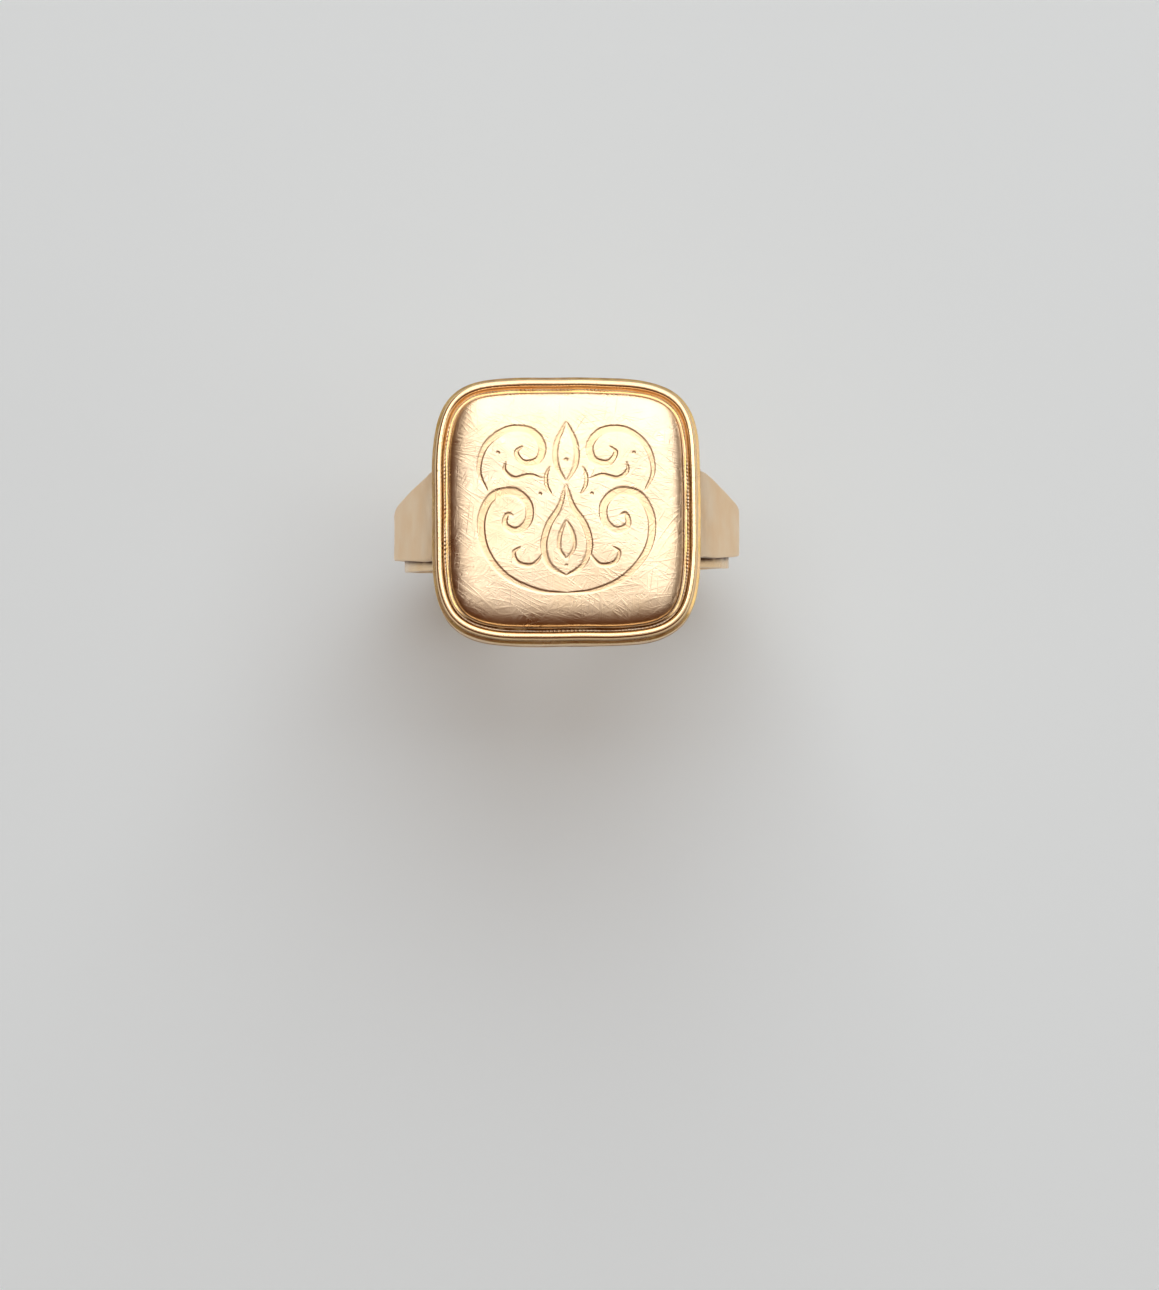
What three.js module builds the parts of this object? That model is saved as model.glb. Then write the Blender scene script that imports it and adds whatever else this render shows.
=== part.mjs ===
// A hollow-built gold signet ring, as a goldsmith solders it up from sheet, strip and wire.
// A finger band runs all the way round the finger. Outside it lies a U of heavier strip in three lengths,
// a back shank and two shoulders, and the shoulders leave the band and rise straight to the head.
// The head is a shallow closed box: back plate, wall and ledge, with a bead of wire round the rim
// and a domed face plate standing inside the bead, so that a channel is left between the two.
//
// Millimetres. The origin is the centre of the finger hole, the finger lies along Y,
// and the face of the ring looks up, along +Z.
import * as THREE from "three";

// Driving dimensions.
const fingerRadius = 8.8; // the hole, a ring of about US size 7 1/2
const bandThickness = 0.4; // the finger band
const shankThickness = 0.58; // the strip outside it
const solderFilm = 0.02; // the thin layer of solder at every joint
const shoulderLean = 15; // degrees between a straight shoulder and the vertical
const jointAngle = -24; // degrees above the horizontal where a shoulder meets the back shank
const headHalf = 7.45; // half the head's width, over the ledge
const cushionPower = 4.4; // 2 is a circle, and a larger power is closer to a square

// The head's pieces, from the finger outwards. An inset is a distance in from the edge of the ledge.
const backPlateThickness = 0.4;
const wallHeight = 1.32;
const wallThickness = 0.45;
const wallInset = 0.06; // so the ledge just overhangs the wall
const ledgeThickness = 0.3;
const beadInset = 0.18; // a narrow step of the ledge shows outside the bead
const beadWidth = 0.52;
const beadHeight = 0.5;
const beadUpright = 0.12; // the straight part of the bead's sides
const faceInset = 0.93; // so a channel is left between the bead and the face
const faceFoot = 0.28; // the upright edge of the face plate
const faceRoll = 1.05; // how far in its rolled edge reaches
const fieldInset = 4.1; // where the flat field in its middle begins
const fieldFall = 0.12; // from the flat field down to the rolled edge
const faceRise = 0.86; // the whole height of the face plate

// Half widths along the finger, and where along Z each one widens towards the head.
const shankTaper = { back: 0.98, head: 2.42, from: -3, to: 8.8 };
const bandTaper = { back: 1.15, head: 2.65, from: -6, to: 7.5 };

// Facets.
const bandSegments = 96;
const headSegments = 72;
const arcStepDegrees = 5;
const straightSteps = 6;
const roundedSteps = 6;

// Derived places.
const bandOuter = fingerRadius + bandThickness;
const shankInner = bandOuter + solderFilm;
const shankOuter = shankInner + shankThickness;
const backPlateLow = bandOuter + solderFilm * 2;
const wallLow = backPlateLow + backPlateThickness + solderFilm;
const ledgeLow = wallLow + wallHeight + solderFilm;
const rimLow = ledgeLow + ledgeThickness + solderFilm;
const wallHalf = headHalf - wallInset;
const jointHalfGap = THREE.MathUtils.radToDeg(solderFilm / 2 / shankOuter);
const lean = THREE.MathUtils.degToRad(shoulderLean);

function taperedHalfWidth(taper, z) {
  const share = THREE.MathUtils.smoothstep(z, taper.from, taper.to);
  return THREE.MathUtils.lerp(taper.back, taper.head, share);
}

// Moves every vertex of a geometry with a function that changes a Vector3 in place.
function bendVertices(geometry, change) {
  const places = geometry.getAttribute("position");
  const point = new THREE.Vector3();
  for (let i = 0; i < places.count; i++) {
    point.fromBufferAttribute(places, i);
    change(point);
    places.setXYZ(i, point.x, point.y, point.z);
  }
  geometry.deleteAttribute("normal");
  geometry.computeVertexNormals();
  return geometry;
}

// The head's outline seen from above, a superellipse: the point and the outward normal at an angle.
function cushionEdge(angle) {
  const c = Math.cos(angle);
  const s = Math.sin(angle);
  const sum = Math.abs(c) ** cushionPower + Math.abs(s) ** cushionPower;
  const reach = headHalf / sum ** (1 / cushionPower);
  const point = new THREE.Vector2(c * reach, s * reach);
  const normal = new THREE.Vector2(
    Math.sign(c) * Math.abs(c) ** (cushionPower - 1),
    Math.sign(s) * Math.abs(s) ** (cushionPower - 1),
  ).normalize();
  return { point, normal };
}

// A head piece. Its profile is a list of [inset, height], carried round the cushion outline
// at that constant inset. Deeper in than deepestInset, the outline shrinks evenly to the middle instead.
function carriedRoundHead(profile) {
  const deepestInset = 2.4;
  const turned = new THREE.LatheGeometry(
    profile.map(([inset, z]) => new THREE.Vector2(headHalf - inset, z)),
    headSegments,
  );
  turned.rotateX(Math.PI / 2);
  return bendVertices(turned, (p) => {
    const radius = Math.hypot(p.x, p.y);
    const edge = cushionEdge(Math.atan2(p.y, p.x));
    const inset = Math.min(headHalf - radius, deepestInset);
    const shrink = Math.min(1, radius / (headHalf - deepestInset));
    p.x = (edge.point.x - edge.normal.x * inset) * shrink;
    p.y = (edge.point.y - edge.normal.y * inset) * shrink;
  });
}

// A flat plate of the head's outline.
function cushionPlate(inset, low, thickness) {
  return carriedRoundHead([
    [headHalf, low],
    [inset, low],
    [inset, low + thickness],
    [headHalf, low + thickness],
  ]);
}

// An outline in the XZ plane, made as wide along Y as the taper says at each height.
function taperedStrip(outline, taper) {
  const solid = new THREE.ExtrudeGeometry(new THREE.Shape(outline), {
    depth: 2,
    bevelEnabled: false,
  });
  solid.translate(0, 0, -1);
  solid.rotateX(Math.PI / 2);
  return bendVertices(solid, (p) => {
    p.y *= taperedHalfWidth(taper, p.z);
  });
}

// Points of an arc about the finger, from one angle above the horizontal to another, in degrees.
function arcPoints(radius, from, to) {
  const steps = Math.max(1, Math.round(Math.abs(to - from) / arcStepDegrees));
  return Array.from({ length: steps + 1 }, (_, i) => {
    const degrees = THREE.MathUtils.lerp(from, to, i / steps);
    const angle = THREE.MathUtils.degToRad(degrees);
    return new THREE.Vector2(radius * Math.cos(angle), radius * Math.sin(angle));
  });
}

// Points up the straight that leaves a circle at the shoulder's lean, from one height to another.
// The first one is left out, because the arc before it ends there.
function straightPoints(radius, from, to) {
  return Array.from({ length: straightSteps }, (_, i) => {
    const z = THREE.MathUtils.lerp(from, to, (i + 1) / straightSteps);
    return new THREE.Vector2((radius - z * Math.sin(lean)) / Math.cos(lean), z);
  });
}

// A flat strip bent into a hoop: turned one millimetre to each side, then widened by the taper.
function fingerBand() {
  const section = [
    [fingerRadius, -1],
    [bandOuter, -1],
    [bandOuter, 1],
    [fingerRadius, 1],
    [fingerRadius, -1],
  ];
  const turned = new THREE.LatheGeometry(
    section.map(([r, y]) => new THREE.Vector2(r, y)),
    bandSegments,
  );
  return bendVertices(turned, (p) => {
    p.y *= taperedHalfWidth(bandTaper, p.z);
  });
}

function backShank() {
  const right = jointAngle - jointHalfGap;
  const left = -180 - right;
  const outline = [
    ...arcPoints(shankOuter, left, right),
    ...arcPoints(shankInner, right, left),
  ];
  return taperedStrip(outline, shankTaper);
}

// The right shoulder: round the finger up to the lean, then straight to the head, where its end is notched
// so that it butts against the wall and also carries the edge of the back plate.
function shoulder() {
  const start = jointAngle + jointHalfGap;
  const buttX = wallHalf + solderFilm;
  const buttTop = (shankOuter - buttX * Math.cos(lean)) / Math.sin(lean);
  const underPlate = backPlateLow - solderFilm;
  const outerArc = arcPoints(shankOuter, start, shoulderLean);
  const innerArc = arcPoints(shankInner, start, shoulderLean);
  const outer = straightPoints(shankOuter, outerArc.at(-1).y, buttTop);
  const inner = straightPoints(shankInner, innerArc.at(-1).y, underPlate);
  const outline = [
    ...outerArc,
    ...outer,
    new THREE.Vector2(buttX, underPlate),
    ...inner.reverse(),
    ...innerArc.reverse(),
  ];
  return taperedStrip(outline, shankTaper);
}

function bezelWall() {
  const inner = wallInset + wallThickness;
  return carriedRoundHead([
    [inner, wallLow],
    [wallInset, wallLow],
    [wallInset, wallLow + wallHeight],
    [inner, wallLow + wallHeight],
    [inner, wallLow],
  ]);
}

// The bead: a flat foot on the ledge, a short upright and a rounded top.
function rimWire() {
  const profile = [
    [beadInset + beadWidth, rimLow],
    [beadInset, rimLow],
  ];
  for (let i = 0; i <= roundedSteps; i++) {
    const angle = (Math.PI * i) / roundedSteps;
    profile.push([
      beadInset + (beadWidth / 2) * (1 - Math.cos(angle)),
      rimLow + beadUpright + (beadHeight - beadUpright) * Math.sin(angle),
    ]);
  }
  profile.push([beadInset + beadWidth, rimLow]);
  return carriedRoundHead(profile);
}

// The face: an upright foot, an edge that rolls over through a quarter of an ellipse,
// and a slight rise to the flat field.
function facePlate() {
  const rollRise = faceRise - fieldFall - faceFoot;
  const profile = [
    [headHalf, rimLow],
    [faceInset, rimLow],
  ];
  for (let i = 0; i <= roundedSteps; i++) {
    const angle = ((Math.PI / 2) * i) / roundedSteps;
    profile.push([
      faceInset + faceRoll * (1 - Math.cos(angle)),
      rimLow + faceFoot + rollRise * Math.sin(angle),
    ]);
  }
  profile.push([fieldInset, rimLow + faceRise]);
  profile.push([headHalf, rimLow + faceRise]);
  return carriedRoundHead(profile);
}

// Finishes: one alloy, worked to different surfaces.
const polishedGold = new THREE.MeshStandardMaterial({
  color: "#fbdaa4",
  roughness: 0.12,
  metalness: 1,
});
const wornGold = new THREE.MeshStandardMaterial({
  color: "#f8d6a0",
  roughness: 0.28,
  metalness: 1,
});
const satinGold = new THREE.MeshStandardMaterial({
  color: "#f7d3a0",
  roughness: 0.36,
  metalness: 1,
});

const ring = new THREE.Group();

function addPiece(name, geometry, material) {
  const mesh = new THREE.Mesh(geometry, material);
  mesh.name = name;
  ring.add(mesh);
  return mesh;
}

addPiece("finger_band", fingerBand(), polishedGold);
addPiece("back_shank", backShank(), satinGold);
addPiece("right_shoulder", shoulder(), satinGold);
addPiece("left_shoulder", shoulder(), satinGold).rotation.z = Math.PI;

const backPlate = cushionPlate(wallInset, backPlateLow, backPlateThickness);
const ledgePlate = cushionPlate(0, ledgeLow, ledgeThickness);
addPiece("back_plate", backPlate, satinGold);
addPiece("bezel_wall", bezelWall(), polishedGold);
addPiece("ledge_plate", ledgePlate, polishedGold);
addPiece("rim_wire", rimWire(), polishedGold);
addPiece("face_plate", facePlate(), wornGold);

export default ring;
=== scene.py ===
import math
import bmesh
import bpy
import numpy as np
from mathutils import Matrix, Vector


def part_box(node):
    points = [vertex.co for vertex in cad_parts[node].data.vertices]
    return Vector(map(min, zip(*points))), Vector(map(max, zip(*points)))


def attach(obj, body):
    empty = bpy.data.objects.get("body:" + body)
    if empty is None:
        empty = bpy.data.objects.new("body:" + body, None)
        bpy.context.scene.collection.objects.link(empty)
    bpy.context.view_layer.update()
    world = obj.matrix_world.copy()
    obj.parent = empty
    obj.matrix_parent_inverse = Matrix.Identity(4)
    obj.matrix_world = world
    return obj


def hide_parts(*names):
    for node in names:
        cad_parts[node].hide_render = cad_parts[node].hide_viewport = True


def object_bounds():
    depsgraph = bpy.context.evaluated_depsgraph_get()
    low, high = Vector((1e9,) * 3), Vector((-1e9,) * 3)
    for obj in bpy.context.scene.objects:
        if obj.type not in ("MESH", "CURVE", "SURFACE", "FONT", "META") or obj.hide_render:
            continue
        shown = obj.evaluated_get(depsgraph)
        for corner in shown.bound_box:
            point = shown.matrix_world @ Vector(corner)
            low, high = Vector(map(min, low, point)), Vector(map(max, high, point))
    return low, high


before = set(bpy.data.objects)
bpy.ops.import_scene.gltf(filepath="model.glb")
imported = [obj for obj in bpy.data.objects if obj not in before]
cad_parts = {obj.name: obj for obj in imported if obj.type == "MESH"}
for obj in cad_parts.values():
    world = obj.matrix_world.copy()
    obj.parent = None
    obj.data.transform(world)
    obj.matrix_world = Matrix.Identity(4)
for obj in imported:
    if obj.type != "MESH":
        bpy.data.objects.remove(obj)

cadLow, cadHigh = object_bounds()
mm = 0.001

# The view: a long lens well back from the ring, leaning a little towards the wearer,
# with the ring left of the middle and high in the frame.
view = {
    "distance": 450.0,
    "lean": 7.2,          # degrees from straight above
    "aimX": 0.65,         # where the lens points, from the centre of the finger hole
    "aimY": -6.25,
    "lens": 221.0,
}


def makeCamera():
    lean = math.radians(view["lean"])
    camera = bpy.data.objects.new("camera", bpy.data.cameras.new("camera"))
    camera.data.lens = view["lens"]
    camera.data.sensor_width = 36.0
    camera.data.clip_start = 0.01
    camera.data.clip_end = 20.0
    away = Vector((0, -math.sin(lean), math.cos(lean)))
    camera.location = away * view["distance"] * mm
    aim = Vector((view["aimX"], view["aimY"], 0)) * mm
    camera.rotation_euler = (aim - camera.location).to_track_quat("-Z", "Y").to_euler()
    bpy.context.scene.collection.objects.link(camera)
    bpy.context.scene.camera = camera


makeCamera()
print("camera set")


# Sizes of the ring in millimetres, all taken from the frame's own pieces.
def boxOf(node):
    low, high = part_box(node)
    return np.array(low) / mm, np.array(high) / mm


ledgeLow, ledgeHigh = boxOf("ledge_plate")
faceLow, faceHigh = boxOf("face_plate")
baseLow, baseHigh = boxOf("back_plate")
shankLow, shankHigh = boxOf("back_shank")
beadHigh = boxOf("rim_wire")[1]
wallHigh = boxOf("bezel_wall")[1]
bandHigh = boxOf("finger_band")[1]
shoulderHigh = boxOf("right_shoulder")[1]

headHalf = ledgeHigh[0]
cushionPower = 4.4    # 2 is a circle, and a larger power is closer to a square

shank = {
    "outer": -shankLow[2],
    "thickness": 0.58,
    "lean": 15.0,          # degrees between a straight shoulder and the vertical
    "joint": -24.0,        # degrees round from +X, where the shoulders meet the back shank
    "edge": 0.15,          # the eased edges
    "backHalf": shankHigh[1],
    "headHalf": shoulderHigh[1],
    "widensFrom": -3.5,
    "widensTo": 9.6,
}
band = {
    "outer": bandHigh[0],
    "thickness": 0.4,
    "edge": 0.1,
    "backHalf": 1.15,
    "headHalf": bandHigh[1],
    "widensFrom": -9.0,
    "widensTo": 7.5,
}


def ease(x, low, high):
    t = np.clip((np.asarray(x, float) - low) / (high - low), 0, 1)
    return t * t * (3 - 2 * t)


# Half the width of a strip at a height: it widens towards the head, faster in the middle.
def halfWidth(strip, z):
    start, end = strip["widensFrom"], strip["widensTo"]
    smooth = ease(z, start, end)
    steady = np.clip((np.asarray(z, float) - start) / (end - start), 0, 1)
    share = (smooth + steady) / 2
    return strip["backHalf"] + (strip["headHalf"] - strip["backHalf"]) * share


# Hand work: nothing filed by hand is quite true, so every piece gets the same slow waves of about a
# hundredth of a millimetre, and the head sits a touch out of square on the shank.
handWork = {"wave": 0.012, "turn": -0.5, "skew": 0.010, "from": 8.6, "to": 9.6}


def worked(p):
    p = np.array(p, float)
    x, y, z = p[:, 0].copy(), p[:, 1].copy(), p[:, 2].copy()
    wave = handWork["wave"]
    p[:, 0] += wave * (np.sin(1.1 * y + 0.7 * z + 0.4) + 0.6 * np.sin(2.3 * z - 1.7 * y + 2.0))
    p[:, 1] += wave * (np.sin(0.9 * x + 0.5 * z + 1.3) + 0.6 * np.sin(2.1 * x - 1.1 * z))
    p[:, 2] += wave * 0.5 * np.sin(0.8 * x + 1.0 * y + 0.9)
    share = ease(z, handWork["from"], handWork["to"])
    turn = math.radians(handWork["turn"])
    p[:, 0] -= share * turn * y
    p[:, 1] += share * turn * x
    p[:, 1] -= share * handWork["skew"] * x * ease(y, 0.0, headHalf)
    return p


def makePiece(name, points, faces, material, node, tell=None):
    mesh = bpy.data.meshes.new(name)
    mesh.from_pydata((worked(points) * mm).tolist(), [], faces)
    mesh.validate()
    shell = bmesh.new()
    shell.from_mesh(mesh)
    bmesh.ops.recalc_face_normals(shell, faces=shell.faces)
    shell.to_mesh(mesh)
    shell.free()
    mesh.shade_smooth()
    for key, values in (tell or {}).items():
        mesh.attributes.new(key, "FLOAT", "POINT").data.foreach_set("value", np.asarray(values, np.float32))
    mesh.materials.append(material)
    piece = bpy.data.objects.new(name, mesh)
    bpy.context.scene.collection.objects.link(piece)
    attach(piece, "root")
    if node:
        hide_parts(node)
    print("made", name, len(mesh.polygons), "faces")
    return piece


# The cushion outline of the head, a superellipse, at angles round it: points and outward normals.
def cushionEdge(angle):
    c, s = np.cos(angle), np.sin(angle)
    reach = headHalf / (np.abs(c) ** cushionPower + np.abs(s) ** cushionPower) ** (1 / cushionPower)
    points = np.stack([c * reach, s * reach], -1)
    normals = np.stack([
        np.sign(c) * np.abs(c) ** (cushionPower - 1),
        np.sign(s) * np.abs(s) ** (cushionPower - 1),
    ], -1)
    normals /= np.linalg.norm(normals, axis=-1, keepdims=True)
    return points, normals


deepestInset = 2.4    # deeper in than this the outline shrinks evenly instead


def carried(angle, inset):
    points, normals = cushionEdge(angle)
    shrink = np.clip((headHalf - inset) / (headHalf - deepestInset), 0, 1)
    return (points - normals * np.minimum(inset, deepestInset)[..., None]) * shrink[..., None]


# A profile's corners eased with small curves, and a point a little way along each side so that flats
# stay flat.
def eased(corners, radius, steps=5, closed=True):
    corners = [np.array(c, float) for c in corners]
    out = []
    count = len(corners)
    for i, corner in enumerate(corners):
        if not closed and i in (0, count - 1):
            out.append(corner)
            continue
        before = corners[i - 1] - corner
        after = corners[(i + 1) % count] - corner
        lengthBefore, lengthAfter = np.linalg.norm(before), np.linalg.norm(after)
        before, after = before / lengthBefore, after / lengthAfter
        reach = min(radius, 0.4 * lengthBefore, 0.4 * lengthAfter)
        out.append(corner + before * reach * 1.25)
        for k in range(steps + 1):
            t = k / steps
            start, end = corner + before * reach, corner + after * reach
            out.append((1 - t) ** 2 * start + 2 * t * (1 - t) * corner + t ** 2 * end)
        out.append(corner + after * reach * 1.25)
    return np.array(out)


# More points on the straight runs between the eased corners, so many on each.
def spread(section, counts, steps=5):
    group = steps + 3
    out = []
    for i, count in enumerate(counts):
        corner = section[i * group:(i + 1) * group]
        following = section[(i + 1) * group % len(section)]
        share = np.arange(1, count + 1)[:, None] / (count + 1)
        out += [corner, corner[-1] + (following - corner[-1]) * share]
    return np.concatenate(out)


ringSteps = 512


# A piece of the head: a profile of (inset, height) carried round the cushion. An open profile is closed
# with a flat face across the head at each end.
def headRing(profile, closed=True, steps=ringSteps):
    profile = np.array(profile, float)
    angle = np.arange(steps) * math.tau / steps
    points = []
    for inset, z in profile:
        xy = carried(angle, np.full(steps, inset))
        points.append(np.column_stack([xy, np.full(steps, z)]))
    rows = len(profile)
    faces = []
    for r in range(rows if closed else rows - 1):
        a, b = r * steps, (r + 1) % rows * steps
        for i in range(steps):
            j = (i + 1) % steps
            faces.append((a + i, a + j, b + j, b + i))
    if not closed:
        faces.append(tuple(range(steps))[::-1])
        faces.append(tuple(range((rows - 1) * steps, rows * steps)))
    return np.concatenate(points), faces


# Gold and its finishes. Every colour is an sRGB hex value, turned linear here.
def linear(hexColour):
    values = [int(hexColour[i:i + 2], 16) / 255 for i in (1, 3, 5)]
    return [v / 12.92 if v <= 0.04045 else ((v + 0.055) / 1.055) ** 2.4 for v in values] + [1.0]


def addNode(tree, kind, settings=None, links=None):
    node = tree.nodes.new(kind)
    for key, value in (settings or {}).items():
        if isinstance(key, str) and hasattr(node, key):
            setattr(node, key, value)
        else:
            node.inputs[key].default_value = value
    for key, source in (links or {}).items():
        socket = source.outputs[0] if isinstance(source, bpy.types.Node) else source
        tree.links.new(socket, node.inputs[key])
    return node


# A new metal, its shader, and object coordinates in millimetres, so that scales below are in real sizes.
def newMetal(name):
    material = bpy.data.materials.new(name)
    material.use_nodes = True
    tree = material.node_tree
    shader = tree.nodes["Principled BSDF"]
    shader.inputs["Metallic"].default_value = 1.0
    place = addNode(tree, "ShaderNodeTexCoord")
    inMm = addNode(tree, "ShaderNodeVectorMath", {"operation": "SCALE", "Scale": 1 / mm},
                   {0: place.outputs["Object"]})
    return material, tree, shader, inMm


# Fine marks that run one way, turned so many degrees in the plane of the head, from 0 to 1. The scale
# is their length, spacing and reach downwards in millimetres.
def marksAlong(tree, place, degrees, scale, start, seed, width=0.08):
    stretched = addNode(tree, "ShaderNodeMapping", {
        "vector_type": "TEXTURE", "Rotation": (0, 0, math.radians(degrees)), "Scale": scale,
        "Location": (seed * 3.7, seed * 1.9, seed)}, {"Vector": place})
    noise = addNode(tree, "ShaderNodeTexNoise", {"Scale": 1.0, "Detail": 2.0, "Roughness": 0.6},
                    {"Vector": stretched})
    return addNode(tree, "ShaderNodeMapRange", {
        "interpolation_type": "SMOOTHSTEP", "From Min": start, "From Max": start + width},
        {"Value": noise.outputs[0]})


# Hairline scratches that run one way: thin lines, from 0 to 1, that wander a little and fade in and out.
def scratchLines(tree, place, degrees, scale, width, seed):
    stretched = addNode(tree, "ShaderNodeMapping", {
        "vector_type": "TEXTURE", "Rotation": (0, 0, math.radians(degrees)), "Scale": scale,
        "Location": (seed * 3.1, seed * 1.3, seed)}, {"Vector": place})
    noise = addNode(tree, "ShaderNodeTexNoise", {"Scale": 1.0, "Detail": 1.0}, {"Vector": stretched})
    level = addNode(tree, "ShaderNodeMath", {"operation": "SUBTRACT", 1: 0.5}, {0: noise.outputs[0]})
    away = addNode(tree, "ShaderNodeMath", {"operation": "ABSOLUTE"}, {0: level})
    line = addNode(tree, "ShaderNodeMapRange", {
        "From Min": 0.0, "From Max": width, "To Min": 1.0, "To Max": 0.0}, {"Value": away})
    fade = blotches(tree, place, perMm=0.7, low=0.0, high=1.0, seed=seed + 5.0, detail=1.0)
    return addNode(tree, "ShaderNodeMath", {"operation": "MULTIPLY"}, {0: line, 1: fade})


# Slow blotches, so many to the millimetre, running between two values.
def blotches(tree, place, perMm, low, high, seed, detail=3.0):
    moved = addNode(tree, "ShaderNodeVectorMath", {
        "operation": "ADD", 1: (seed, -seed, 2 * seed)}, {0: place})
    noise = addNode(tree, "ShaderNodeTexNoise", {"Scale": perMm, "Detail": detail}, {"Vector": moved})
    return addNode(tree, "ShaderNodeMapRange", {
        "From Min": 0.3, "From Max": 0.7, "To Min": low, "To Max": high}, {"Value": noise.outputs[0]})


gold = {
    "bright": "#FBDFB9",
    "lapped": "#FCE2BE",
    "pale": "#FADDB3",
    "warm": "#F6D1A0",
    # The next three are deeper, more saturated golds painted as shade, for the bead, the channel floor and
    # the engraved cuts, standing in for light bouncing in the channel and the cuts.
    "wire": "#FADBA8",
    "channelShade": "#F4D080",
    "cutShade": "#EAB768",
    "solder": "#F8E8CC",
    # dark brown for painted shade in corners, creases and on the -Y side, and for tarnish
    "grimeAndShade": "#512C10",
}


# The gold's own colour: two tones in slow patches, and a dark brown where the piece says: painted shade in
# its corners and creases and on its -Y side, with some old wax and tarnish.
def goldColour(tree, shader, place, first, second, perMm, seed, extra=None):
    tone = blotches(tree, place, perMm, low=0.0, high=1.0, seed=seed)
    plain = addNode(tree, "ShaderNodeMix", {
        "data_type": "RGBA", 6: linear(gold[first]), 7: linear(gold[second])}, {0: tone}).outputs[2]
    if extra:
        plain = extra(plain)
    grimeAndShade = addNode(tree, "ShaderNodeAttribute", {"attribute_name": "grimeAndShade"})
    uneven = blotches(tree, place, perMm=1.6, low=0.6, high=1.0, seed=seed + 1.5)
    shadeAndFilm = addNode(tree, "ShaderNodeMath", {"operation": "MULTIPLY", "use_clamp": True},
                   {0: grimeAndShade.outputs["Fac"], 1: uneven})
    # painted shade and tarnish: the dark brown is mixed in where the piece's mask says
    shadedAndDirty = addNode(tree, "ShaderNodeMix", {
        "data_type": "RGBA", 7: linear(gold["grimeAndShade"])}, {0: shadeAndFilm, 6: plain})
    tree.links.new(shadedAndDirty.outputs[2], shader.inputs["Base Color"])
    return shadeAndFilm


# Roughness in slow patches, with something added to it.
def goldRoughness(tree, shader, place, finish, seed, more, share):
    low, high = finish["roughness"]
    base = blotches(tree, place, perMm=0.9, low=low, high=high, seed=seed)
    rough = addNode(tree, "ShaderNodeMath", {
        "operation": "MULTIPLY_ADD", 1: share}, {0: more, 2: base})
    tree.links.new(rough.outputs[0], shader.inputs["Roughness"])


# Yellow gold of about 14 carat, filed true and then lapped. The wearer has rubbed the lapped face with
# years of small scratches that run every way, so it is soft to look at and not mirror bright.
faceFinish = {
    "roughness": (0.25, 0.33),
    "scratchAngles": (-41, -27, -12, 9, 34, 58, 84),
    "scratchScale": (5.0, 0.45, 9.0),    # length, spacing and reach downwards in millimetres
    "scratchWidth": 0.035,               # really about 0.01 mm across, drawn coarser so that they show
    "scratchDepth": 0.0075,
    "grainDepth": 0.0012,
    "cutTone": 0.3,                      # how far the engraved lines take on the deeper tone
}


def wornGold():
    material, tree, shader, place = newMetal("lapped gold face, worn")

    # Painted shade in the engraving: the cuts are painted part way towards a deeper, more saturated gold.
    def cutShaded(plain):
        cut = addNode(tree, "ShaderNodeAttribute", {"attribute_name": "cut"})
        share = addNode(tree, "ShaderNodeMath", {
            "operation": "MULTIPLY", 1: faceFinish["cutTone"]}, {0: cut.outputs["Fac"]})
        return addNode(tree, "ShaderNodeMix", {
            "data_type": "RGBA", 7: linear(gold["cutShade"])}, {0: share, 6: plain}).outputs[2]

    goldColour(tree, shader, place, "lapped", "pale", perMm=0.35, seed=0.0, extra=cutShaded)
    scale, width = faceFinish["scratchScale"], faceFinish["scratchWidth"]
    marks = None
    for i, degrees in enumerate(faceFinish["scratchAngles"]):
        layer = scratchLines(tree, place, degrees, scale, width, seed=i + 1.0)
        if marks:
            layer = addNode(tree, "ShaderNodeMath", {"operation": "MAXIMUM"}, {0: marks, 1: layer})
        marks = layer
    goldRoughness(tree, shader, place, faceFinish, seed=9.0, more=marks, share=0.06)
    grain = addNode(tree, "ShaderNodeBump", {"Distance": faceFinish["grainDepth"] * mm},
                    {"Height": blotches(tree, place, perMm=7.0, low=0.0, high=1.0, seed=2.0)})
    scratched = addNode(tree, "ShaderNodeBump", {"Distance": faceFinish["scratchDepth"] * mm},
                        {"Height": marks, "Normal": grain})
    tree.links.new(scratched.outputs[0], shader.inputs["Normal"])
    return material


# The bead: half-round wire burnished bright with a steel tool and then worn. It mirrors what is round
# it, broken only by light rubbing and the odd nick.
beadFinish = {"roughness": (0.12, 0.19), "ripple": 0.0009, "nick": 0.0015}


def burnishedGold():
    material, tree, shader, place = newMetal("burnished gold wire")
    # Painted shade: the wire's two tones are a little deeper and more saturated than the face's, standing
    # in for light bouncing in the channel.
    shadeAndFilm = goldColour(tree, shader, place, "wire", "warm", perMm=0.6, seed=1.0)
    goldRoughness(tree, shader, place, beadFinish, seed=3.0, more=shadeAndFilm, share=0.2)
    ripple = addNode(tree, "ShaderNodeBump", {"Distance": beadFinish["ripple"] * mm},
                     {"Height": blotches(tree, place, perMm=2.2, low=0.0, high=1.0, seed=5.0)})
    spots = blotches(tree, place, perMm=6.0, low=-2.2, high=1.0, seed=7.0, detail=1.0)
    spots = addNode(tree, "ShaderNodeMath", {"operation": "MAXIMUM", 1: 0.0}, {0: spots})
    nicked = addNode(tree, "ShaderNodeBump", {"Distance": beadFinish["nick"] * mm},
                     {"Height": spots, "Normal": ripple})
    tree.links.new(nicked.outputs[0], shader.inputs["Normal"])
    return material


# The channel floor: cleaned up with a graver after soldering and never polished, so it holds little
# scraper marks that catch the light in dots.
ledgeFinish = {"roughness": (0.18, 0.3), "scrapeSpacing": 0.3, "scrapeDepth": 0.003}


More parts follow.
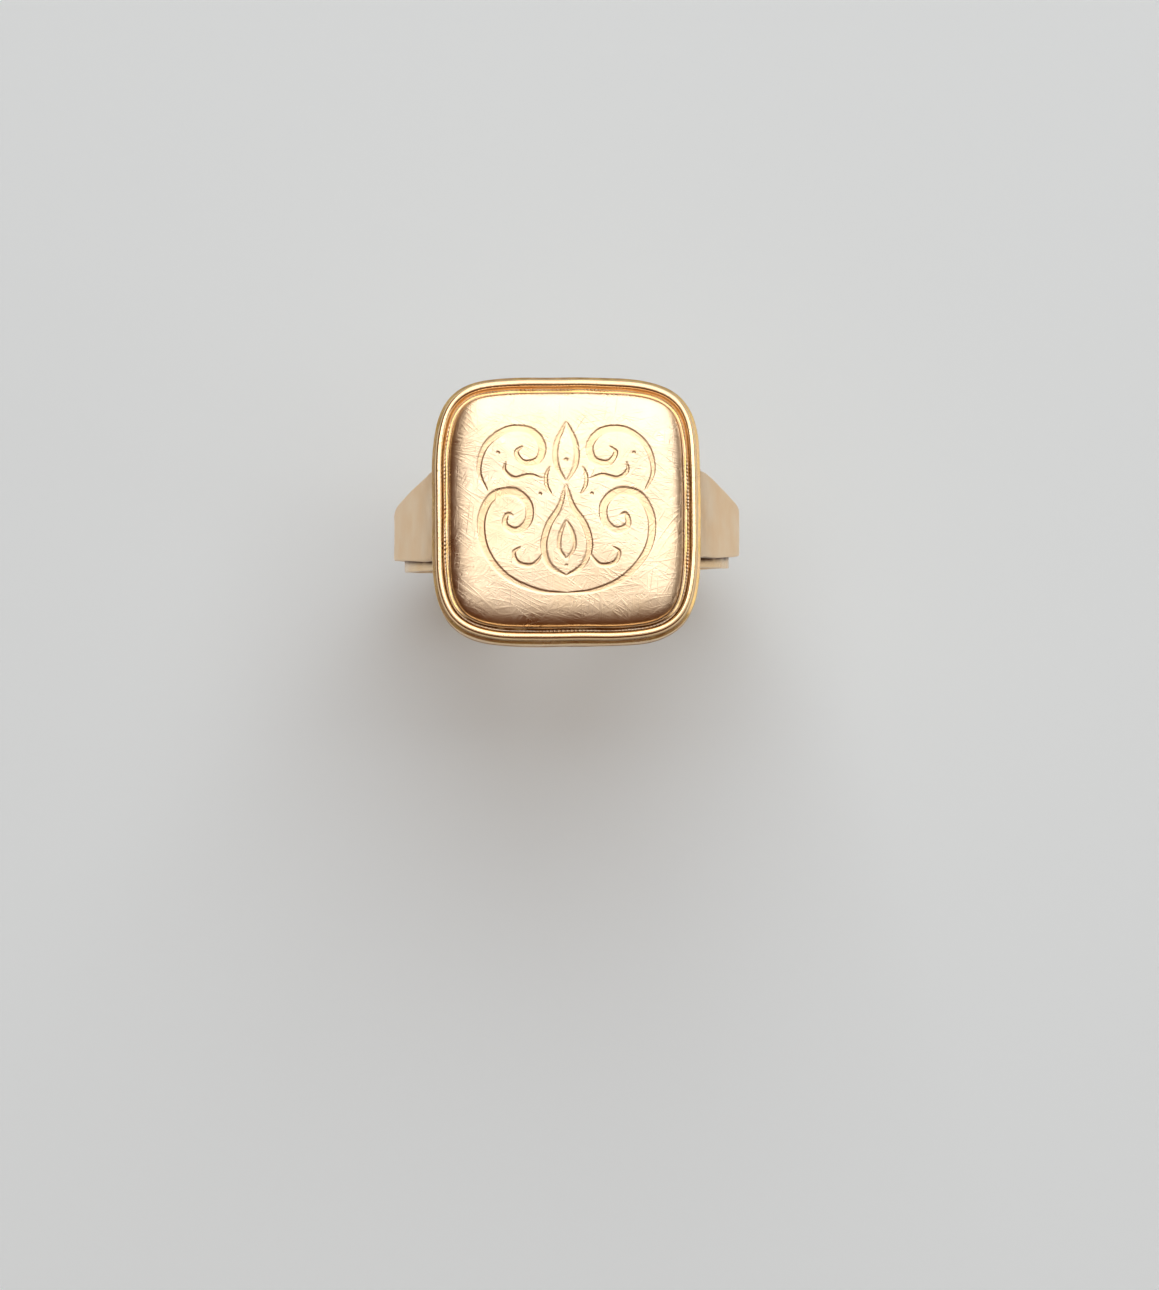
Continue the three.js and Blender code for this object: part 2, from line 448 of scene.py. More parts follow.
def scrapedGold():
    material, tree, shader, place = newMetal("scraped gold sheet")
    # Painted shade: the channel floor is painted in a deeper, more saturated gold than the face, standing
    # in for light bouncing inside the channel.
    shadeAndFilm = goldColour(tree, shader, place, "warm", "channelShade", perMm=1.1, seed=6.0)
    goldRoughness(tree, shader, place, ledgeFinish, seed=2.0, more=shadeAndFilm, share=0.2)
    scrapes = blotches(tree, place, perMm=1 / ledgeFinish["scrapeSpacing"], low=0.0, high=1.0, seed=8.0,
                       detail=1.0)
    scraped = addNode(tree, "ShaderNodeBump", {"Distance": ledgeFinish["scrapeDepth"] * mm},
                      {"Height": scrapes})
    tree.links.new(scraped.outputs[0], shader.inputs["Normal"])
    return material


# Shank and shoulders: strip forged, filed and rubbed crosswise with emery paper, then worn by the
# neighbouring fingers to a soft satin with a faint grain from edge to edge.
shankFinish = {"roughness": (0.34, 0.42), "grainScale": (2.4, 0.14, 0.14), "grainDepth": 0.0022,
               "dentDepth": 0.003}


def emeriedGold():
    material, tree, shader, place = newMetal("emeried gold strip")
    shadeAndFilm = goldColour(tree, shader, place, "bright", "warm", perMm=0.5, seed=2.5)
    grain = marksAlong(tree, place, 90, shankFinish["grainScale"], start=0.42, seed=3.0, width=0.3)
    goldRoughness(tree, shader, place, shankFinish, seed=11.0, more=shadeAndFilm, share=0.15)
    dented = addNode(tree, "ShaderNodeBump", {"Distance": shankFinish["dentDepth"] * mm},
                     {"Height": blotches(tree, place, perMm=1.6, low=0.0, high=1.0, seed=4.0, detail=1.0)})
    grained = addNode(tree, "ShaderNodeBump", {"Distance": shankFinish["grainDepth"] * mm},
                      {"Height": grain, "Normal": dented})
    tree.links.new(grained.outputs[0], shader.inputs["Normal"])
    return material


# The finger band: flat drawn strip, rubbed smooth all round by the finger and the polishing mop.
bandFinish = {"roughness": (0.18, 0.28), "rubScale": (1.4, 0.14, 0.14), "rubDepth": 0.002}


def rubbedGold():
    material, tree, shader, place = newMetal("rubbed gold band")
    shadeAndFilm = goldColour(tree, shader, place, "bright", "warm", perMm=0.45, seed=7.5)
    goldRoughness(tree, shader, place, bandFinish, seed=13.0, more=shadeAndFilm, share=0.2)
    across = marksAlong(tree, place, 90, bandFinish["rubScale"], start=0.5, seed=5.0, width=0.2)
    rubbed = addNode(tree, "ShaderNodeBump", {"Distance": bandFinish["rubDepth"] * mm}, {"Height": across})
    tree.links.new(rubbed.outputs[0], shader.inputs["Normal"])
    return material


# Solder: a paler gold alloy that ran into the joints and was left as it froze, a little lumpy.
solderFinish = {"roughness": (0.24, 0.36), "lumpDepth": 0.004}


def frozenSolder():
    material, tree, shader, place = newMetal("gold solder, as run")
    shadeAndFilm = goldColour(tree, shader, place, "solder", "warm", perMm=1.4, seed=3.5)
    goldRoughness(tree, shader, place, solderFinish, seed=4.0, more=shadeAndFilm, share=0.2)
    lumps = addNode(tree, "ShaderNodeBump", {"Distance": solderFinish["lumpDepth"] * mm},
                    {"Height": blotches(tree, place, perMm=3.5, low=0.0, high=1.0, seed=6.5, detail=2.0)})
    tree.links.new(lumps.outputs[0], shader.inputs["Normal"])
    return material


faceGold = wornGold()
beadGold = burnishedGold()
ledgeGold = scrapedGold()
shankGold = emeriedGold()
bandGold = rubbedGold()
solderGold = frozenSolder()
print("materials made")

# The head, from the base up.
headEdges = {"plate": 0.05, "wall": 0.05, "ledge": 0.03}
ledgeBevel = {"across": 0.17, "down": 0.153}    # filed round the top of the ledge, outside the bead
wallInset = headHalf - wallHigh[0]
baseInset = headHalf - baseHigh[0]
wallThickness = 0.45
capInset = 5.0    # where a plate's flat closing face begins

# The bead is a length of wire bent round the ledge and filed: a broad crest with a full outer side, and a
# long slope down into the channel.
bead = {
    "outer": headHalf - beadHigh[0],
    "width": 0.52,
    "crest": 0.47,         # inset of the highest line
    "outerFullness": 4.0,  # 2 is round, more is squarer and 1 is a straight slope
    "innerFullness": 1.5,
    "foot": 0.04,
    "steps": 13,
    "chatter": 0.02,      # depth of the marks that the scraper left on the inner wall
    "chatterEvery": 0.21,
}

# The face: a cushion-shaped plate with an upright foot, a rolled edge and a slight crown.
face = {
    "edgeInset": headHalf - faceHigh[0],
    "foot": 0.26,
    "draft": 0.03,
    "roll": 1.4,        # how far in the rolled edge reaches
    "crown": 0.24,      # how much higher the middle is than the start of the roll
    "cells": 270,       # across the engraved middle, about 0.04 mm each
}


# Painted shade and grime lie in a corner and thin out over a short distance.
def inCorner(distance, reach):
    return np.exp(-(np.asarray(distance, float) / reach) ** 2)


# Painted shade, heavier towards -Y: from a tenth on the +Y side up to full towards -Y.
def shadeTowardsMinusY(points):
    return 0.1 + 0.9 * ease(-points[:, 1], 3.0, 6.2)


def makeHead():
    low, high = baseLow[2], baseHigh[2]
    profile = eased([(capInset, low), (baseInset, low), (baseInset, high), (capInset, high)],
                    headEdges["plate"], closed=False)
    points, faces = headRing(profile, closed=False)
    # Painted shade along the top of the base, in the corner where the wall stands on it.
    makePiece("head_base", points, faces, shankGold, "back_plate",
              {"grimeAndShade": 0.7 * inCorner(points[:, 2] - high, reach=0.06)})

    low, high = baseHigh[2], ledgeLow[2]
    corners = [(wallInset, low), (wallInset, high), (wallInset + wallThickness, high),
               (wallInset + wallThickness, low)]
    profile = spread(eased(corners, headEdges["wall"]), counts=(10, 2, 10, 2))
    points, faces = headRing(profile)
    # Painted shade at the wall's foot and top, in the corners against the base and the ledge.
    grimeAndShade = np.maximum(inCorner(points[:, 2] - low, reach=0.08), inCorner(points[:, 2] - high, reach=0.08))
    makePiece("head_wall", points, faces, shankGold, "bezel_wall", {"grimeAndShade": 0.8 * grimeAndShade})

    low, high = ledgeLow[2], ledgeHigh[2]
    across, down = ledgeBevel["across"], ledgeBevel["down"]
    corners = [(capInset, low), (0.0, low), (0.0, high - down), (across, high), (capInset, high)]
    side = eased(corners, headEdges["ledge"], closed=False)
    top = [(inset, high) for inset in np.arange(across + 0.06, 1.15, 0.03)]
    profile = np.vstack([side[:-1], top, side[-1:]])
    points, faces = headRing(profile, closed=False)
    inset = np.repeat(profile[:, 0], ringSteps)
    joints = (bead["outer"], bead["outer"] + bead["width"], face["edgeInset"])
    # Painted shade in the channel's corners: at both feet of the bead and at the face's foot.
    grimeAndShade = sum(inCorner(inset - joint, reach=0.05) for joint in joints) * (points[:, 2] > high - 0.02)
    # Painted shade: the channel is darker towards -Y, and on the -Y side the channel floor inside the bead
    # is painted darker still.
    grimeAndShade *= shadeTowardsMinusY(points)
    grimeAndShade += 1.5 * ease(-points[:, 1], 5.4, 6.3) * ease(inset, 0.5, 0.62)
    # Painted shade on the bevel: a little, and more on the far side, towards +Y.
    grimeAndShade += (0.1 + 0.7 * ease(points[:, 1], 6.0, 7.0)) * (1 - ease(inset, 0.12, 0.2))
    makePiece("channel_ledge", points, faces, ledgeGold, "ledge_plate",
              {"grimeAndShade": 0.9 * grimeAndShade})


# Little hollows along the bead's inner wall, from 0 to 1, deeper on some stretches than on others.
def chatterAt(along):
    wander = along / bead["chatterEvery"] * math.pi + 1.4 * np.sin(along * 1.1) + 0.6 * np.sin(along * 2.7)
    stretch = 0.55 + 0.45 * np.sin(along * 0.37 + 1.0) * np.sin(along * 0.9 + 0.5)
    return np.abs(np.sin(wander)) * stretch


def makeBead():
    outer, inner = bead["outer"], bead["outer"] + bead["width"]
    low, high = ledgeHigh[2] - 0.01, beadHigh[2]
    crest, foot = bead["crest"], low + bead["foot"]
    turns = np.linspace(0, math.pi / 2, bead["steps"] + 1)
    profile = [(inner, low), (outer, low)]
    for side, bend, order in ((outer, 2 / bead["outerFullness"], turns),
                              (inner, 2 / bead["innerFullness"], turns[-2::-1])):
        for t in order:
            across, up = max(math.cos(t), 0.0) ** bend, math.sin(t) ** bend
            profile.append((crest + (side - crest) * across, foot + (high - foot) * up))
    steps = 1440
    points, faces = headRing(profile, steps=steps)
    rows = len(profile)
    ring = points.reshape(rows, steps, 3)
    path = ring[-2, :, :2]
    along = np.concatenate([[0], np.cumsum(np.linalg.norm(np.diff(path, axis=0), axis=1))])
    normals = cushionEdge(np.arange(steps) * math.tau / steps)[1]
    inset, height = np.array(profile).T
    onWall = ease(inset, crest + 0.03, crest + 0.09) * ease(height, low + 0.03, low + 0.14)
    smoother = 1 - 0.8 * ease(-path[:, 1], 5.6, 6.4)    # the scraper ran clean on the wearer's side
    hollow = bead["chatter"] * (chatterAt(along) - 0.5) * smoother
    ring[:, :, :2] += onWall[:, None, None] * (hollow[:, None] * normals)[None]
    # Painted shade at the bead's foot, heavier towards -Y, and a painted dark reflection on the lower outer
    # slope on the -Y side.
    grimeAndShade = np.repeat(inCorner(height - low, reach=0.09), steps) * shadeTowardsMinusY(points)
    outside = (1 - ease(inset, crest - 0.2, crest - 0.07)) * (1 - ease(height, low + 0.3, high))
    grimeAndShade += 0.5 * np.repeat(outside, steps) * ease(-points[:, 1], 6.2, 7.0)
    makePiece("beaded_rim", points, faces, beadGold, "rim_wire", {"grimeAndShade": grimeAndShade})


makeHead()
makeBead()

# Engraved scrollwork, cut with a flat graver: each stroke is a shallow trench with steep sides that
# swells in the middle and runs out to a point. It is an ornament only, the same on both sides.
# Points are in millimetres, before the size is applied, on the right-hand half, and every stroke is
# repeated on the left.
scrollwork = {
    "size": 1.06,
    "depth": 0.037,
    "wall": 0.075,        # the width of a stroke's sloping side
    "strokes": [          # the width of each, and the points it runs through
        (0.46, [(0.0, -4.45), (1.5, -4.3), (3.1, -3.55), (4.2, -2.2), (4.45, -0.6), (3.85, 0.65),
                (2.75, 0.9), (2.0, 0.25), (2.0, -0.65), (2.6, -1.15), (3.2, -0.85), (3.1, -0.3),
                (2.75, -0.35)]),
        (0.42, [(4.1, 0.9), (4.55, 2.0), (4.2, 3.3), (3.1, 4.15), (1.9, 4.1), (1.25, 3.35), (1.45, 2.55),
                (2.2, 2.4), (2.6, 2.95), (2.25, 3.3)]),
        (0.36, [(0.0, -3.55), (0.85, -3.0), (1.2, -2.0), (0.95, -0.9), (0.35, 0.1), (0.0, 1.3)]),
        (0.30, [(0.0, 1.35), (0.5, 2.3), (0.5, 3.4), (0.0, 4.6)]),
        (0.22, [(0.0, -2.7), (0.38, -2.1), (0.33, -1.35), (0.0, -0.6)]),
        (0.22, [(1.15, -2.3), (1.75, -2.95), (2.5, -2.85), (2.75, -2.3), (2.4, -2.0)]),
        (0.22, [(1.2, 1.55), (1.9, 1.75), (2.7, 1.6), (3.2, 2.0), (3.15, 2.5)]),
        (0.20, [(0.75, 0.75), (1.0, 1.15), (1.05, 1.7), (0.85, 2.2)]),
    ],
    "dots": [(0.14, (0.0, 2.55)), (0.10, (0.0, -3.0)), (0.12, (3.55, 2.95)), (0.12, (1.35, 0.75))],
}


# A smooth line through points, by Catmull-Rom.
def through(points, steps=14):
    p = np.array(points, float)
    p = np.vstack([2 * p[0] - p[1], p, 2 * p[-1] - p[-2]])
    out = []
    for i in range(1, len(p) - 2):
        a, b, c, d = p[i - 1], p[i], p[i + 1], p[i + 2]
        for t in np.arange(steps) / steps:
            out.append(0.5 * (2 * b + (c - a) * t + (2 * a - 5 * b + 4 * c - d) * t ** 2
                              + (3 * b - a - 3 * c + d) * t ** 3))
    out.append(p[-2])
    return np.array(out)


# How deep the graver went at each point, from 0 to 1.
def cutAt(xy):
    cut = np.zeros(len(xy))
    size, wall = scrollwork["size"], scrollwork["wall"]
    for width, points in scrollwork["strokes"]:
        line = through(points) * size
        for side in (1, -1):
            path = line * (side, 1)
            start, step = path[:-1], path[1:] - path[:-1]
            low, high = path.min(0) - width, path.max(0) + width
            near = np.where(((xy > low) & (xy < high)).all(1))[0]
            best = np.full(len(near), 9.0)
            at = np.zeros(len(near))
            for i in range(len(step)):
                offset = xy[near] - start[i]
                t = np.clip(offset @ step[i] / (step[i] @ step[i]), 0, 1)
                away = np.linalg.norm(offset - t[:, None] * step[i], axis=1)
                closer = away < best
                best[closer] = away[closer]
                at[closer] = (i + t[closer]) / len(step)
            half = width / 2 * np.sin(math.pi * at) ** 0.55 + 0.03    # it swells in the middle
            cut[near] = np.maximum(cut[near], ease(half - best, 0, wall))
    for radius, spot in scrollwork["dots"]:
        for side in (1, -1):
            away = np.linalg.norm(xy - np.array(spot) * size * (side, 1), axis=1)
            cut = np.maximum(cut, ease(radius - away, 0, wall))
    return cut


def faceHeight(inset):
    u = inset - face["edgeInset"]
    reach = headHalf - face["edgeInset"]
    low, top = faceLow[2] + face["foot"], faceHigh[2]
    crown = face["crown"] * (1 - np.clip(u / reach, 0, 1)) ** 2
    edge = 1 - np.clip(u / face["roll"], 0, 1)
    rise = top - low - face["crown"]
    return top - crown - rise * (1 - np.sqrt(1 - edge ** 2))


def makeFace():
    cells = face["cells"]
    axis = np.linspace(-1, 1, cells + 1)
    v, u = np.meshgrid(axis, axis, indexing="ij")
    share = np.maximum(np.abs(u), np.abs(v)).ravel()
    angle = np.arctan2(v, u).ravel()
    middle = carried(angle, np.full(len(share), deepestInset)) * share[:, None]
    insetOf = headHalf - (headHalf - deepestInset) * share
    points = [np.column_stack([middle, faceHeight(insetOf)])]

    index = np.arange((cells + 1) ** 2).reshape(cells + 1, cells + 1)
    border = np.concatenate([index[0, :-1], index[:-1, -1], index[-1, :0:-1], index[:0:-1, 0]])
    corners = [index[:-1, :-1], index[:-1, 1:], index[1:, 1:], index[1:, :-1]]
    faces = np.stack(corners, -1).reshape(-1, 4).tolist()

    # Rings outwards from the grid: the roll, then the foot.
    edge = face["edgeInset"]
    turns = np.linspace(0, math.pi / 2, 17)
    rings = [(inset, faceHeight(inset)) for inset in edge + face["roll"] * (1 - np.sin(turns))]
    footTop, footLow = rings[-1][1], faceLow[2] - 0.03
    rings += [(edge - face["draft"] * t, footTop + (footLow - footTop) * t) for t in (0.15, 0.4, 0.7, 1.0)]
    last, count = border, len(border)
    total = len(points[0])
    for inset, z in rings:
        xy = carried(angle[border], np.full(count, inset))
        points.append(np.column_stack([xy, np.full(count, z)]))
        ring = total + np.arange(count)
        total += count
        for i in range(count):
            j = (i + 1) % count
            faces.append((int(last[j]), int(last[i]), int(ring[i]), int(ring[j])))
        last = ring
    faces.append(tuple(int(i) for i in last[::-1]))
    points = np.concatenate(points)
    cut = cutAt(points[:, :2])
    points[:, 2] -= scrollwork["depth"] * cut
    # Painted shade and dark reflection on the roll: darker further down it, lighter towards +Y and darker
    # at the left and right; more painted shade at the foot, heavier towards -Y.
    height = points[:, 2] - faceLow[2]
    grimeAndShade = 0.55 * (1 - ease(height, face["foot"], faceHigh[2] - faceLow[2] - face["crown"] - 0.03))
    grimeAndShade *= 1 - 0.9 * ease(points[:, 1], 2.0, 5.5)
    grimeAndShade *= 0.8 + 0.9 * ease(np.abs(points[:, 0]), 4.0, 6.0)
    grimeAndShade += inCorner(height, reach=0.12) * shadeTowardsMinusY(points)
    makePiece("engraved_face", points, faces, faceGold, "face_plate",
              {"cut": cut, "grimeAndShade": grimeAndShade})


makeFace()


# A strip bent along a line: each station gives a point on its outer side and the matching one inside.
def stripPiece(name, stations, strip, material, node, grimeAndShadeAt, closed=False, turned=False):
    rows, depths = [], []
    for outer, inner in stations:
        outer, inner = np.array(outer, float), np.array(inner, float)
        half = float(halfWidth(strip, outer[1]))
        corners = [(-half, 0), (half, 0), (half, strip["thickness"]), (-half, strip["thickness"])]
        section = spread(eased(corners, strip["edge"]), counts=(30, 3, 30, 3))
        depth = section[:, 1] / strip["thickness"]
        xz = inner + (outer - inner) * depth[:, None]
        rows.append(np.column_stack([xz[:, 0], section[:, 0], xz[:, 1]]))
        depths.append(depth)
    size = len(rows[0])
    faces = []
    for r in range(len(rows) if closed else len(rows) - 1):
        a, b = r * size, (r + 1) % len(rows) * size
        for i in range(size):
            j = (i + 1) % size
            faces.append((a + i, b + i, b + j, a + j))
    if not closed:
        faces.append(tuple(range(size)))
        faces.append(tuple(range((len(rows) - 1) * size, len(rows) * size))[::-1])
    points = np.concatenate(rows)
    grimeAndShade = grimeAndShadeAt(points, np.concatenate(depths))
    if turned:
        points = points * (-1, -1, 1)
    return makePiece(name, points, faces, material, node, {"grimeAndShade": grimeAndShade})


def onArc(radius, degrees):
    angle = math.radians(degrees)
    return radius * math.cos(angle), radius * math.sin(angle)


butt = wallHigh[0] - 0.02    # where the shoulders meet the head's wall
shoulderLean = math.radians(shank["lean"])
shoulderTop = (shank["outer"] - butt * math.cos(shoulderLean)) / math.sin(shoulderLean)
shoulderFoot = baseLow[2] - 0.01


def onStraight(radius, z):
    return (radius - z * math.sin(shoulderLean)) / math.cos(shoulderLean), z


# Painted shade and grime on the shank and shoulders: along the inner corner against the band, higher up on
# the
# -Y side of each shoulder, at the joints and where the shoulders meet the head's wall.
def shankGrimeAndShade(points, depth):
    angle = np.degrees(np.arctan2(points[:, 2], np.abs(points[:, 0])))
    joint = np.radians(angle - shank["joint"]) * shank["outer"]
    wall = np.where(points[:, 2] > 6, np.abs(points[:, 0]) - butt, 9)
    reach = 0.45 + 0.45 * (points[:, 1] < 0) * ease(points[:, 2], -3, 2)
    return np.maximum.reduce([
        0.9 - 0.9 * ease(depth, reach - 0.25, reach),
        0.5 * inCorner(joint, reach=0.07),
        0.7 * inCorner(wall, reach=0.12),
        0.2 * inCorner(wall, reach=0.7),
    ])


def makeShank():
    outer, inner = shank["outer"], shank["outer"] - shank["thickness"]
    joint = shank["joint"]
    around = np.linspace(-180 - joint, joint, 141)
    stations = [(onArc(outer, a), onArc(inner, a)) for a in around]
    stripPiece("shank_back", stations, shank, shankGold, "back_shank", shankGrimeAndShade)

    stations = [(onArc(outer, a), onArc(inner, a)) for a in np.linspace(joint, shank["lean"], 44)]
    outerStart, innerStart = stations[-1][0][1], stations[-1][1][1]
    for t in np.linspace(0, 1, 30)[1:]:
        stations.append((onStraight(outer, outerStart + (shoulderTop - 0.5 - outerStart) * t),
                         onStraight(inner, innerStart + (shoulderFoot - innerStart) * t)))
    stations.append(((butt, shoulderTop), (butt, shoulderFoot)))
    for side, turned in (("right", False), ("left", True)):
        stripPiece("shoulder_" + side, stations, shank, shankGold, side + "_shoulder",
                   shankGrimeAndShade, turned=turned)


makeShank()


# Painted shadow on the band: two dark lines where the shank's edges sit on it, wider and darker higher up.
def bandGrimeAndShadow(points, depth):
    edge = np.abs(points[:, 1]) - halfWidth(shank, points[:, 2])
    upper = ease(points[:, 2], -4, 3)
    return (0.8 + 0.5 * upper) * inCorner(edge, reach=0.09 + 0.12 * upper) * (depth > 0.6)


def makeBand():
    outer, inner = band["outer"], band["outer"] - band["thickness"]
    around = np.arange(288) * 360 / 288
    stations = [(onArc(outer, a), onArc(inner, a)) for a in around]
    stripPiece("finger_liner", stations, band, bandGold, "finger_band", bandGrimeAndShadow,
               closed=True)


makeBand()
print("ring made")

# Solder, in thin uneven lines along the joints that show most. The first four are the radius of a line.
solder = {
    "bead": 0.085,
    "head": 0.045,
    "shoulder": 0.07,
    "hairline": 0.03,
    "uneven": 0.35,
    "lumps": 0.45,
}


# A line of solder: a small round section carried along a closed path, swelling and thinning.
def solderLine(name, path, radius, lumps=0.0):
    path = np.array(path, float)
    count, sides = len(path), 8
    ahead = np.roll(path, -1, axis=0) - np.roll(path, 1, axis=0)
    ahead /= np.linalg.norm(ahead, axis=1, keepdims=True)
    middle = path.mean(0)
    outwards = path - middle
    outwards -= (outwards * ahead).sum(1, keepdims=True) * ahead
    outwards /= np.linalg.norm(outwards, axis=1, keepdims=True)
    upwards = np.cross(ahead, outwards)
    along = np.cumsum(np.linalg.norm(np.roll(path, -1, axis=0) - path, axis=1))
    swell = 1 + lumps * (chatterAt(along) - 0.5)
    swell *= 1 + solder["uneven"] * np.sin(along * 2.3 + 0.5) * np.sin(along * 0.9 + 1.1 * len(name))
    points = []
    for k in range(sides):
        turn = k * math.tau / sides
        away = outwards * math.cos(turn) + upwards * math.sin(turn)
        points.append(path + away * (radius * swell)[:, None])
    points = np.concatenate(points)
    faces = []
    for k in range(sides):
        a, b = k * count, (k + 1) % sides * count
        for i in range(count):
            j = (i + 1) % count
            faces.append((a + i, a + j, b + j, b + i))
    # Painted shade on the solder, heavier towards -Y.
    makePiece(name, points, faces, solderGold, None, {"grimeAndShade": 0.4 * shadeTowardsMinusY(points)})


# A path round the head at one inset and height.
def roundHead(inset, z, steps=720):
    xy = carried(np.arange(steps) * math.tau / steps, np.full(steps, inset))
    return np.column_stack([xy, np.full(steps, z)])


# A path round the shoulder's end, just off the head's wall, or round the strip at its joint.
def roundStrip(outer, inner, half, side, steps=30):
    corners = [(outer, half), (outer, -half), (inner, -half), (inner, half)]
    path = []
    for i, (start, y) in enumerate(corners):
        end, yEnd = corners[(i + 1) % 4]
        for t in np.arange(steps) / steps:
            x = start[0] + (end[0] - start[0]) * t
            z = start[1] + (end[1] - start[1]) * t
            path.append((side * x, y + (yEnd - y) * t, z))
    return path


def makeSolder():
    high = ledgeHigh[2]
    inside = roundHead(bead["outer"] + bead["width"], high, 1600)
    solderLine("solder_bead_inside", inside, solder["bead"], solder["lumps"])
    solderLine("solder_bead_outside", roundHead(bead["outer"] + 0.01, high), solder["hairline"])
    solderLine("solder_face", roundHead(face["edgeInset"] - face["draft"], high), solder["head"])
    solderLine("solder_base", roundHead(wallInset, baseHigh[2]), solder["hairline"])
    ends = (butt + 0.02, shoulderTop), (butt + 0.02, shoulderFoot)
    middle = shank["outer"] - 0.02
    joint = onArc(middle, shank["joint"]), onArc(shank["outer"] - shank["thickness"], shank["joint"])
    for side, name in ((1, "right"), (-1, "left")):
        half = float(halfWidth(shank, shoulderTop)) - 0.01
        solderLine("solder_shoulder_" + name, roundStrip(*ends, half, side), solder["shoulder"])
        half = float(halfWidth(shank, joint[0][1])) - 0.02
        solderLine("solder_joint_" + name, roundStrip(*joint, half, side), solder["hairline"])


makeSolder()
print("solder run")

# A plain pale floor under the back of the shank.
floor = {
    "size": 6000.0,
    "colour": "#F1FAF9",
    "roughness": 0.65,
    "fibresPerMetre": 900.0,
    "fibreStrength": 0.05,
    "fibreDepth": 0.1,
}


def makeFloor():
    material = bpy.data.materials.new("matt white card")
    material.use_nodes = True
    tree = material.node_tree
    shader = tree.nodes["Principled BSDF"]
    place = addNode(tree, "ShaderNodeTexCoord")
    fibre = addNode(tree, "ShaderNodeTexNoise", {"Scale": floor["fibresPerMetre"], "Detail": 2.0},
                    {"Vector": place.outputs["Object"]})
    bump = addNode(tree, "ShaderNodeBump", {
        "Strength": floor["fibreStrength"], "Distance": floor["fibreDepth"] * mm},
        {"Height": fibre.outputs["Fac"]})
    tree.links.new(bump.outputs["Normal"], shader.inputs["Normal"])
    shader.inputs["Base Color"].default_value = linear(floor["colour"])
    shader.inputs["Roughness"].default_value = floor["roughness"]
    half, z = floor["size"] / 2 * mm, cadLow[2]
    mesh = bpy.data.meshes.new("floor")
    corners = [(-half, -half, z), (half, -half, z), (half, half, z), (-half, half, z)]
    mesh.from_pydata(corners, [], [(0, 1, 2, 3)])
    mesh.materials.append(material)
    piece = bpy.data.objects.new("floor", mesh)
    bpy.context.scene.collection.objects.link(piece)


makeFloor()

# Soft light: one wide panel leaning in from beyond the ring, a narrow one right overhead and a low one on
# the right. Azimuths run from +Y towards +X, and pitches from straight up.
lampColour = "#F7F9FF"    # a touch cooler than the room
softboxes = {    # metres, and radiance in watts per square metre and steradian
    "panel": {
        "azimuth": 4.0, "pitch": 42.0, "away": 1.2, "side": 0.14,
        "size": (1.47, 1.75), "radiance": 1.95,
    },
    "overhead": {
        "azimuth": 4.0, "pitch": -0.5, "away": 1.5, "side": 0.17,
        "size": (1.92, 0.8), "radiance": 0.62,
    },
    "window": {
        "azimuth": 84.0, "pitch": 75.0, "away": 1.3, "side": 0.0,
        "size": (1.4, 0.42), "radiance": 1.15,
    },
}

# The room is brown and dim on the left and on the wearer's side, so that rolled edges have something
# dark to mirror.
room = {
    "dim": "#5A3315",
    "dimSide": (-0.6, -0.8, 0.0),    # the way to it
    "dimFrom": -0.25,                # it begins and is full at these cosines of the angle from that way
    "dimTo": 0.35,
    "pale": "#957A60",
    "top": "#57422E",
    "topFrom": 0.05,                 # the walls darken towards the top between these heights, as sines
    "topTo": 0.8,
    "horizon": "#D2D1CF",
    "horizonTop": 0.16,              # the height of the pale strip at the horizon, as a sine
    "strength": 1.0,
}


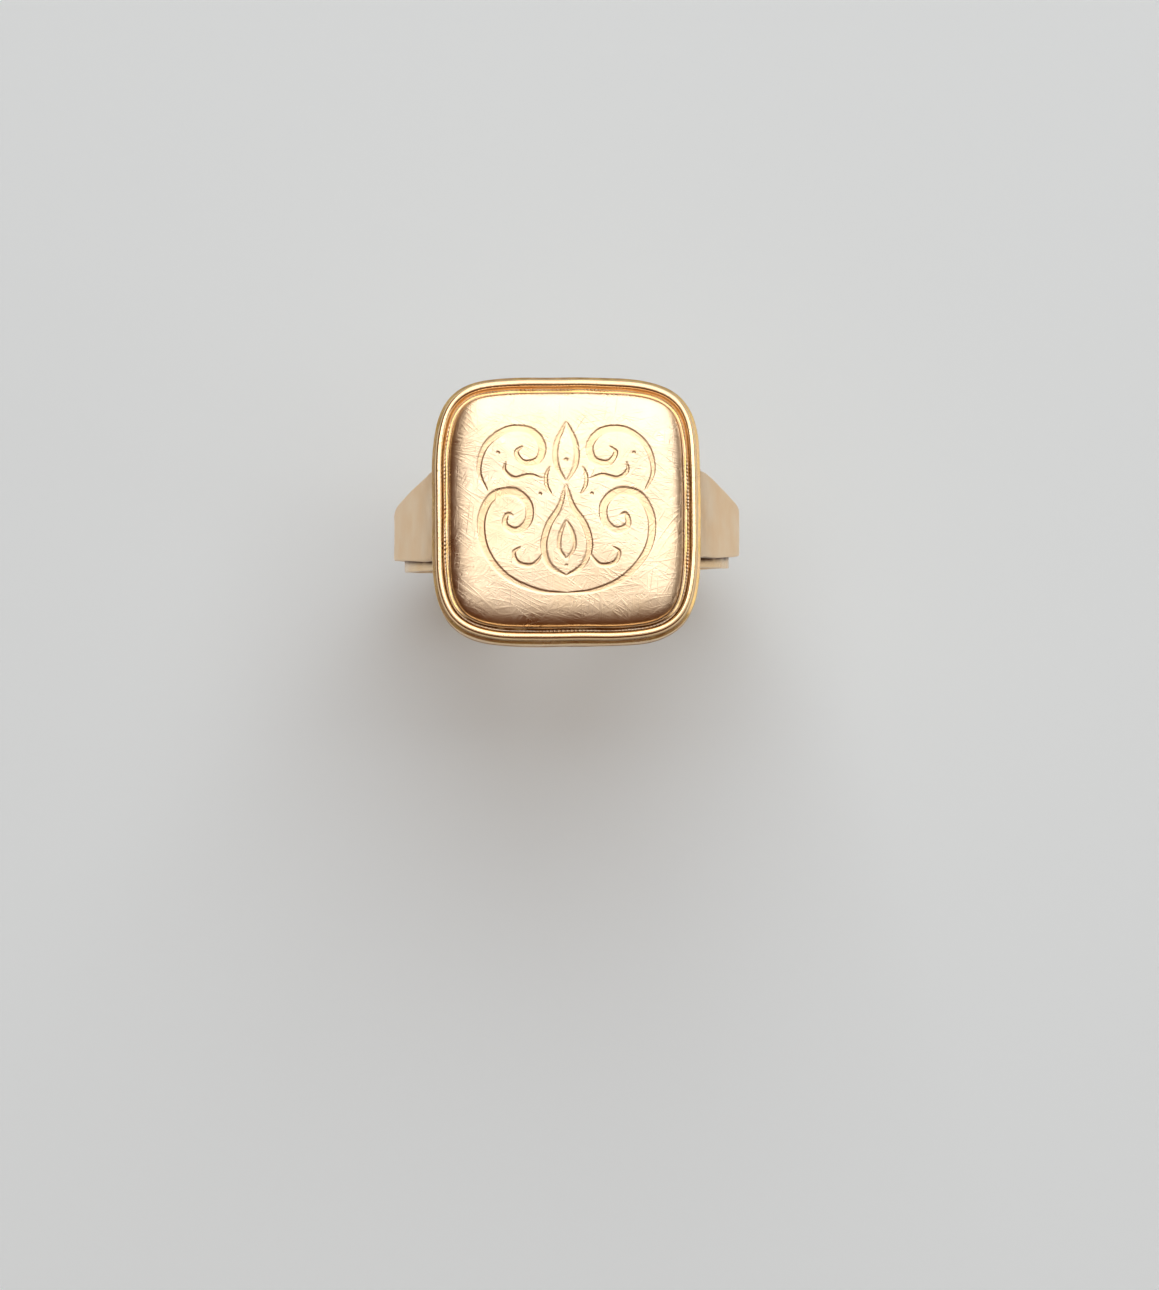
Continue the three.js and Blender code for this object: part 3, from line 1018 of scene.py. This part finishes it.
def makeLights():
    for name, box in softboxes.items():
        light = bpy.data.lights.new(name, "AREA")
        light.shape = "RECTANGLE"
        light.size, light.size_y = box["size"]
        light.color = linear(lampColour)[:3]
        light.energy = box["radiance"] * math.pi * light.size * light.size_y
        lamp = bpy.data.objects.new(name, light)
        pitch, azimuth = math.radians(box["pitch"]), math.radians(box["azimuth"])
        ahead, across = box["away"] * math.sin(pitch), box["side"]
        lamp.location = (
            ahead * math.sin(azimuth) + across * math.cos(azimuth),
            ahead * math.cos(azimuth) - across * math.sin(azimuth),
            box["away"] * math.cos(pitch),
        )
        lamp.rotation_euler = (-pitch, 0, -azimuth)
        bpy.context.scene.collection.objects.link(lamp)
    world = bpy.data.worlds.new("room")
    bpy.context.scene.world = world
    world.use_nodes = True
    tree = world.node_tree
    background = tree.nodes["Background"]
    background.inputs["Strength"].default_value = room["strength"]
    place = addNode(tree, "ShaderNodeTexCoord")
    height = addNode(tree, "ShaderNodeSeparateXYZ", {}, {0: place.outputs["Generated"]})
    rise = addNode(tree, "ShaderNodeMapRange", {"From Min": room["topFrom"], "From Max": room["topTo"]},
                   {"Value": height.outputs["Z"]})
    walls = addNode(tree, "ShaderNodeMix", {
        "data_type": "RGBA", 6: linear(room["pale"]), 7: linear(room["top"])}, {0: rise})
    facing = addNode(tree, "ShaderNodeVectorMath", {"operation": "DOT_PRODUCT", 1: room["dimSide"]},
                     {0: place.outputs["Generated"]})
    share = addNode(tree, "ShaderNodeMapRange", {
        "interpolation_type": "SMOOTHSTEP", "From Min": room["dimFrom"], "From Max": room["dimTo"]},
        {"Value": facing.outputs["Value"]})
    colour = addNode(tree, "ShaderNodeMix", {
        "data_type": "RGBA", 7: linear(room["dim"])}, {0: share, 6: walls.outputs[2]})
    strip = addNode(tree, "ShaderNodeMapRange", {
        "interpolation_type": "SMOOTHSTEP",
        "From Min": room["horizonTop"] / 2, "From Max": room["horizonTop"]},
        {"Value": height.outputs["Z"]})
    whole = addNode(tree, "ShaderNodeMix", {
        "data_type": "RGBA", 6: linear(room["horizon"])}, {0: strip, 7: colour.outputs[2]})
    tree.links.new(whole.outputs[2], background.inputs["Color"])


makeLights()
bpy.context.scene.view_settings.view_transform = "Standard"
print("lights set")
